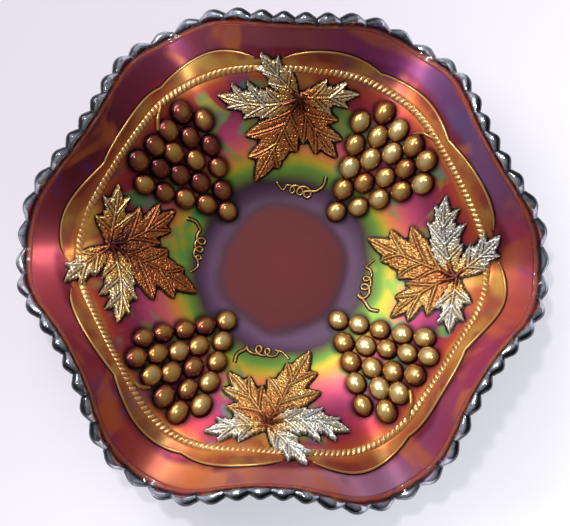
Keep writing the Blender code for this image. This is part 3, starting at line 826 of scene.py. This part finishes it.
def make_cable(number, material):
    """A quarter of the border: a low band of slanted ribs, like a twisted cord."""
    start, end = border_span(number)
    shell = Shell()
    steps = int(CABLE_RIBS * (end - start) / 360) * RIB_STEPS
    section = np.linspace(-1, 1, 13)
    angles = np.linspace(start, end, steps)
    rings, painted_shades = [], []
    for angle in angles:
        lean = 0.28 * section
        phase = (angle / 360 * CABLE_RIBS + lean) % 1.0
        rib = np.abs(np.sin(pi * phase)) ** 0.7
        crown = np.sqrt(np.maximum(0, 1 - section ** 2))
        up = CABLE_HEIGHT * (0.25 + 0.75 * rib) * crown
        out = CABLE_RADIUS + section * CABLE_WIDTH / 2
        top = np.stack([out * cos(radians(angle)), out * sin(radians(angle)), up], axis=1)
        low = top[[-1, 0]].copy()
        low[:, 2] = -SUNK
        rings.append(np.concatenate([top, low]))
        # painted shade in the gaps between the ribs, and fully dark at the sunk edges
        painted_shades.append(np.concatenate([np.clip(0.95 - 1.6 * rib, 0, 0.9), [1, 1]]))
    shell.add_rings(rings, np.array(painted_shades), 0.62)
    return shell.build(f"cable_{number + 1}", material)


def vine_length(share):
    """How far out the vine runs: three uneven arches."""
    arches = np.abs(np.sin(pi * 3 * share)) ** 0.8
    return VINE_RADIUS + VINE_SWING * arches * (0.7 + 0.3 * np.cos(2 * pi * share))


def make_vine(number, material):
    start, end = border_span(number, VINE_INSET)
    share = np.linspace(0, 1, 150)
    angle = np.radians(start + (end - start) * share)
    length = vine_length(share)
    points = np.stack([length * np.cos(angle), length * np.sin(angle), 0.25 * MM + 0 * angle], axis=1)
    shell = Shell()
    radii = VINE_ROUND * np.clip(np.minimum(share, 1 - share) / 0.04, 0.3, 1)
    shell.add_rings(tube_rings(points, radii), 0.0, 0.55)
    # a wider, flat tube under the vine, painted fully dark: painted shade round it
    shell.add_rings(tube_rings(points - np.array([0, 0, 0.2 * MM]), radii * 1.9, 10, 0.16), 1.0, 0.2)
    return shell.build(f"vine_{number + 1}", material)


def make_tendril(number, material):
    """A thin curl with three loops beside the floor."""
    turn = QUARTER * number
    out = CURL_RADIUS + CURL_SHIFTS[number]
    start = smooth_path([
        on_disc(out + 9.4 * MM, turn + 64),
        on_disc(out + 5.4 * MM, turn + 63.2),
        on_disc(out + 1.9 * MM, turn + 66),
    ])
    loops = []
    for part in np.linspace(0, 1, 90):
        spin = 2 * pi * 3.0 * part + 0.6 * pi
        size = (2.3 - 0.7 * part) * MM
        middle = on_disc(out, turn + 69 + 17 * part)
        loops.append(middle + np.array([cos(spin), sin(spin), 0]) * size)
    finish = smooth_path([loops[-1], on_disc(out - 0.6 * MM, turn + 90), on_disc(out + 2.9 * MM, turn + 94)])
    path = np.concatenate([start, loops[4:], finish[1:]])
    path[:, 2] = 0.22 * MM
    shell = Shell()
    radii = np.linspace(0.48, 0.30, len(path)) * MM
    shell.add_rings(tube_rings(path, radii, 8), 0.0, 0.58)
    # a wider, flat tube under the curl, painted fully dark: painted shade round it
    shell.add_rings(tube_rings(path - np.array([0, 0, 0.18 * MM]), radii * 2.1, 8, 0.14), 1.0, 0.2)
    return shell.build(f"curl_{number + 1}", material)


# ---------------------------------------------------------------- wall, rim and foot
def grape_shade(points):
    """How much painted shade the grapes lay on the glass round them, at each flat point."""
    dark = np.zeros(len(points))
    for number in range(QUARTERS):
        for middle, radius in bunch_grapes(number):
            gap = np.hypot(points[:, 0] - middle[0], points[:, 1] - middle[1]) - radius * 0.97
            dark = np.maximum(dark, 0.88 * bump(np.maximum(gap, 0), GRAPE_SHADOW))
    return dark


def make_wall(material):
    """The plain glass, inside and outside, with the raised strip outside the cable border."""
    end = GLASS_LENGTH - RIM_DEPTH + 0.6 * MM
    floor_part, relief_part = np.linspace(2, 24, 6), np.linspace(25, 84, 62)
    border_part, rim_part = np.linspace(84.7, 99, 30), np.linspace(100, end / MM, 9)
    inner = np.concatenate([floor_part, relief_part, border_part, rim_part]) * MM
    outer = np.concatenate([np.linspace(end / MM, 40, 24), [37, 34, 31, 28, 25, 18, 9, 2]]) * MM
    angle = np.arange(WALL_COLUMNS) / WALL_COLUMNS * 2 * pi
    start, finish = border_span(0, VINE_INSET)
    share = ((np.degrees(angle) - start) % QUARTER) / (finish - start)
    strip_end = np.where(share <= 1, vine_length(np.clip(share, 0, 1)), 91 * MM)
    rings, painted_shades, tones = [], [], []
    for length in inner:
        strip = ease(length, STRIP_START, STRIP_START + 0.6 * MM)
        strip = strip * (1 - ease(length, strip_end - 0.2 * MM, strip_end + 0.3 * MM))
        ring = np.stack([length * np.cos(angle), length * np.sin(angle), STRIP_HEIGHT * strip], axis=1)
        swollen = swelling(ring)
        ring[:, 2] = np.maximum(ring[:, 2], swollen)
        rings.append(ring)
        tones.append(1 + np.maximum(np.clip(swollen / (0.6 * MM), 0, 1), 0.8 * strip))
        # painted shade round the grapes and the leaves, and a dark line of painted shade just outside the
        # raised strip
        dark = np.maximum(grape_shade(ring), spray_shade(ring))
        painted_shades.append(np.maximum(dark, 0.6 * bump(length - strip_end - 0.7 * MM, 0.5 * MM)))
    for length in outer:
        drop = -float(wall_thickness(length))
        rings.append(np.stack([length * np.cos(angle), length * np.sin(angle), drop + 0 * angle], axis=1))
        painted_shades.append(np.zeros(WALL_COLUMNS))
        tones.append(np.zeros(WALL_COLUMNS))
    shell = Shell()
    shell.add_rings(rings, np.array(painted_shades), np.array(tones))
    return shell.build("ruffled_wall", material)


def make_rim(material):
    """The edge: round beads with a smaller swelling between each two."""
    columns = BEADS * BEAD_STEPS
    start = GLASS_LENGTH - RIM_DEPTH
    middle = -RIM_THICKNESS / 2
    turn = np.linspace(0, pi, 17)
    outward = ease(turn, radians(34), radians(66))
    rings, painted_shades = [], []
    for column in range(columns):
        phase = (column / BEAD_STEPS) % 1.0
        angle = column / columns * 2 * pi
        beaded = abs(cos(pi * phase)) ** 0.9
        small = max(0.0, cos(2 * pi * (phase - 0.5))) ** 3
        tip = GLASS_LENGTH - BEAD_NOTCH * (1 - beaded) + 0.6 * MM * small
        swell = 0.50 + 0.52 * beaded + 0.14 * small
        round_radius = (RIM_THICKNESS / 2 + BEAD_SWELL) * swell
        centre = tip - round_radius
        neck = centre - 1.5 * MM * swell
        out = centre + round_radius * np.sin(turn)
        up = middle + round_radius * np.cos(turn)
        section = [(start, 0.0), (start + 1.2 * MM, 0.0), (start + 1.9 * MM, 0.02 * MM), (neck, 0.0)]
        section += list(zip(out, up))
        section += [(neck, 2 * middle), (start + 1.2 * MM, 2 * middle), (start, 2 * middle)]
        rings.append([(s * cos(angle), s * sin(angle), h) for s, h in section])
        # painted shade: dark at the neck and underneath, on the outward side of each bead and in the notches
        # between beads
        notch = (1 - swell) * 1.2
        painted_shades.append([0, 0, 0, 0.9] + list(np.clip(outward + notch, 0, 0.96)) + [0.9, 0.9, 0.9])
    shell = Shell()
    shell.add_rings(rings, np.array(painted_shades), 0.5, wrap=True)
    return shell.build("beads", material)


def make_foot(material):
    """The ring that the bowl stands on, rounded at its edges and faired into the wall."""
    turn = np.arange(FOOT_STEPS) / FOOT_STEPS * 2 * pi
    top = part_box("collar_base")[1].z + 0.8 * MM
    arc = np.linspace(0, pi / 2, 6)
    outer, inner = FOOT_RADIUS, FOOT_RADIUS - FOOT_WIDTH
    profile = [(inner, top - 0.9 * MM), (outer + 0.3 * MM, top)]
    profile += [(outer - FOOT_EDGE * (1 - cos(a)), FOOT_EDGE * (1 - sin(a))) for a in arc]
    profile += [(inner + FOOT_EDGE * (1 - sin(a)), FOOT_EDGE * (1 - cos(a))) for a in arc]
    rings = [[(r * cos(t), r * sin(t), z) for r, z in profile] for t in turn]
    shell = Shell()
    shell.add_rings(rings, 0.0, 0.0, wrap=True)
    return shell.build("foot_ring", material, bent=False)


# ---------------------------------------------------------------- the bowl
GRAPE_TONES = [(0.0, (54, 14, 28)), (0.35, (128, 58, 40)), (0.62, (190, 144, 72)), (1.0, (224, 206, 150))]
LEAF_TONES = [
    (0.0, (96, 34, 20)), (0.35, (186, 104, 48)), (0.60, (214, 168, 92)),
    (0.80, (222, 212, 186)), (1.0, (232, 236, 236)),
]
BORDER_TONES = [(0.0, (120, 54, 30)), (0.5, (220, 156, 84)), (1.0, (248, 222, 172))]
skin = iridised_material()
grape_skin = relief_material("grape_gold", GRAPE_TONES, 0.21, 0.0)
leaf_skin = relief_material("leaf_gold", LEAF_TONES, 0.30, 0.55)
border_skin = relief_material("border_gold", BORDER_TONES, 0.30, 0.0)
place(make_wall(skin), ["bowl_wall"])
place(make_foot(plain_glass_material()), ["collar_base"])
place(make_rim(bead_material()), ["beaded_rim"])
for quarter in range(QUARTERS):
    tag = quarter + 1
    place(make_bunch(quarter, grape_skin), [f"grape_bunch_{tag}"])
    place(make_spray(quarter, leaf_skin), [f"leaf_spray_{tag}"])
    place(make_cable(quarter, border_skin), [f"cable_border_{tag}"])
    place(make_vine(quarter, border_skin), [f"outer_vine_{tag}"])
    place(make_tendril(quarter, leaf_skin), [f"tendril_{tag}"])


# ---------------------------------------------------------------- stage, light and camera
def make_floor():
    """A pale floor that the camera and the glass see as nearly white, with the bowl's shadow on it; the glow
    that lifts it is painted light, brighter towards the lower right.
    """
    bpy.ops.mesh.primitive_plane_add(size=6.0, location=(0, 0, 0))
    floor = bpy.context.object
    floor.name = "floor"
    material, tree, shader = new_glass("pale_floor")
    shader.inputs["Base Color"].default_value = (*srgb((200, 195, 205)), 1)
    shader.inputs["Roughness"].default_value = 0.9
    shader.inputs["Specular IOR Level"].default_value = 0.0
    shader.inputs["Emission Color"].default_value = (*srgb((240, 242, 250)), 1)
    path = tree.nodes.new("ShaderNodeLightPath")
    split = tree.nodes.new("ShaderNodeSeparateXYZ")
    tree.links.new(tree.nodes.new("ShaderNodeNewGeometry").outputs["Position"], split.inputs[0])
    # painted light: the glow that the camera and the glass see is brighter towards the lower right
    towards_corner = calculate(tree, "SUBTRACT", split.outputs[0], split.outputs[1])
    glow = calculate(tree, "MULTIPLY_ADD", between(tree, towards_corner, -0.30, 0.30), 0.63, 0.12)
    mirrored = calculate(tree, "ADD", path.outputs["Is Glossy Ray"], path.outputs["Is Transmission Ray"])
    seen = calculate(tree, "ADD", path.outputs["Is Camera Ray"], mirrored, clamp=True)
    tree.links.new(calculate(tree, "MULTIPLY", seen, glow), shader.inputs["Emission Strength"])
    floor.data.materials.append(material)


def area_light(name, location, target, size, power, color=(1, 1, 1)):
    data = bpy.data.lights.new(name, "AREA")
    data.shape = "RECTANGLE"
    data.size, data.size_y = size
    data.energy = power
    data.color = color
    lamp = bpy.data.objects.new(name, data)
    bpy.context.scene.collection.objects.link(lamp)
    lamp.location = location
    lamp.rotation_euler = (Vector(target) - Vector(location)).to_track_quat("-Z", "Y").to_euler()


def make_world():
    """A dim room, lighter on the side of the window and dark on the other."""
    world = bpy.data.worlds.new("studio")
    bpy.context.scene.world = world
    world.use_nodes = True
    tree = world.node_tree
    background = tree.nodes["Background"]
    background.inputs[0].default_value = (0.86, 0.86, 0.92, 1)
    direction = tree.nodes.new("ShaderNodeTexCoord").outputs["Generated"]
    facing = tree.nodes.new("ShaderNodeVectorMath")
    facing.operation = "DOT_PRODUCT"
    tree.links.new(direction, facing.inputs[0])
    facing.inputs[1].default_value = Vector((-0.6, 0.6, 0.2)).normalized()
    tree.links.new(calculate(tree, "MULTIPLY_ADD", facing.outputs["Value"], 0.31, 0.35), background.inputs[1])


def make_camera():
    """Nearly straight down on the bowl, as if it stood on edge in front of the camera."""
    aim = Vector((0, 0, 0.040))
    tilt = radians(8.2)
    turn = radians(-0.55)
    distance = 0.70
    data = bpy.data.cameras.new("camera")
    camera = bpy.data.objects.new("camera", data)
    bpy.context.scene.collection.objects.link(camera)
    away = Vector((sin(turn), -sin(tilt), 0))
    away.z = sqrt(1 - away.x ** 2 - away.y ** 2)
    camera.location = aim + away * distance
    right = (-away).cross(Vector((0, 1, 0))).normalized()
    up = away.cross(right)
    camera.rotation_euler = Matrix((right, up, away)).transposed().to_euler()
    data.sensor_width = 36
    data.lens = 109.432
    data.shift_x = 0.002982
    data.shift_y = -0.012632
    data.dof.use_dof = False
    bpy.context.scene.camera = camera


make_floor()
make_world()
make_camera()
BOWL = (0, 0, 0.03)
area_light("softbox", (-1.0, 1.0, 1.25), BOWL, (1.6, 1.6), 8.0, (1.0, 0.96, 0.93))
area_light("strip_high", (-0.42, 0.72, 0.84), BOWL, (0.8, 0.06), 3.4, (1.0, 0.98, 0.94))
area_light("strip_low", (-0.62, 0.42, 0.82), BOWL, (0.8, 0.06), 2.8, (1.0, 0.98, 0.94))
area_light("lamp", (-0.24, 0.30, 1.50), BOWL, (0.10, 0.10), 6.5)
bpy.context.scene.view_settings.view_transform = "Standard"
